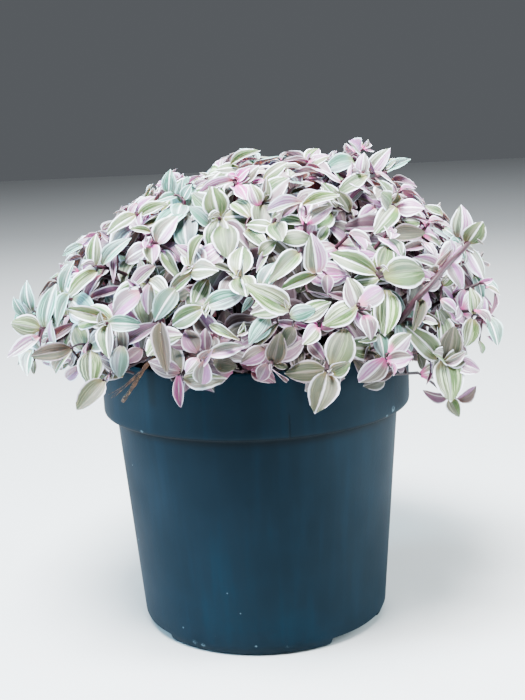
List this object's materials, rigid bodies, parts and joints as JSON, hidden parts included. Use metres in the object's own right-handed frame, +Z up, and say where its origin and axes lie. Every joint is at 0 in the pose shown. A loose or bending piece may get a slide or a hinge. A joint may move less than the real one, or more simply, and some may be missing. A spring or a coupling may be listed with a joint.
{
  "type": "potted turtle vine",
  "caption": "Small trailing plant with a dense mound of striped cream, green and pink leaves in a round nursery pot with a wide rim band.",
  "frame": {"origin": "on the surface that the pot stands on, under the middle of the whole plant's outline", "axes": "+Z up along the pot's axis, -Y towards the side that the picture shows, +X to the right seen from there"},
  "size_m": [0.1858, 0.1916, 0.1892],
  "materials": {
    "pot_plastic": "satin",
    "potting_mix": "matte",
    "dry_stem": "matte",
    "foliage": "satin"
  },
  "bodies": {
    "root": {"pot": "pot_plastic", "soil": "potting_mix", "dry_stem": "dry_stem", "leafy_stem_01": "foliage", "leafy_stem_02": "foliage", "leafy_stem_03": "foliage", "leafy_stem_04": "foliage", "leafy_stem_05": "foliage", "leafy_stem_06": "foliage", "leafy_stem_07": "foliage", "leafy_stem_08": "foliage", "leafy_stem_09": "foliage", "leafy_stem_10": "foliage", "leafy_stem_11": "foliage", "leafy_stem_12": "foliage", "leafy_stem_13": "foliage", "leafy_stem_14": "foliage", "leafy_stem_15": "foliage", "leafy_stem_16": "foliage", "leafy_stem_17": "foliage", "leafy_stem_18": "foliage", "leafy_stem_19": "foliage", "leafy_stem_20": "foliage", "leafy_stem_21": "foliage", "leafy_stem_22": "foliage", "leafy_stem_23": "foliage", "leafy_stem_24": "foliage", "leafy_stem_25": "foliage", "leafy_stem_26": "foliage", "leafy_stem_27": "foliage", "leafy_stem_28": "foliage", "leafy_stem_29": "foliage", "leafy_stem_30": "foliage", "leafy_stem_31": "foliage", "leafy_stem_32": "foliage", "leafy_stem_33": "foliage", "leafy_stem_34": "foliage", "leafy_stem_35": "foliage", "leafy_stem_36": "foliage", "leafy_stem_37": "foliage", "leafy_stem_38": "foliage", "leafy_stem_39": "foliage", "leafy_stem_40": "foliage", "leafy_stem_41": "foliage", "leafy_stem_42": "foliage", "leafy_stem_43": "foliage", "leafy_stem_44": "foliage", "leafy_stem_45": "foliage", "leafy_stem_46": "foliage", "leafy_stem_47": "foliage", "leafy_stem_48": "foliage", "leafy_stem_49": "foliage", "leafy_stem_50": "foliage", "leafy_stem_51": "foliage"}
  },
  "joints": []
}
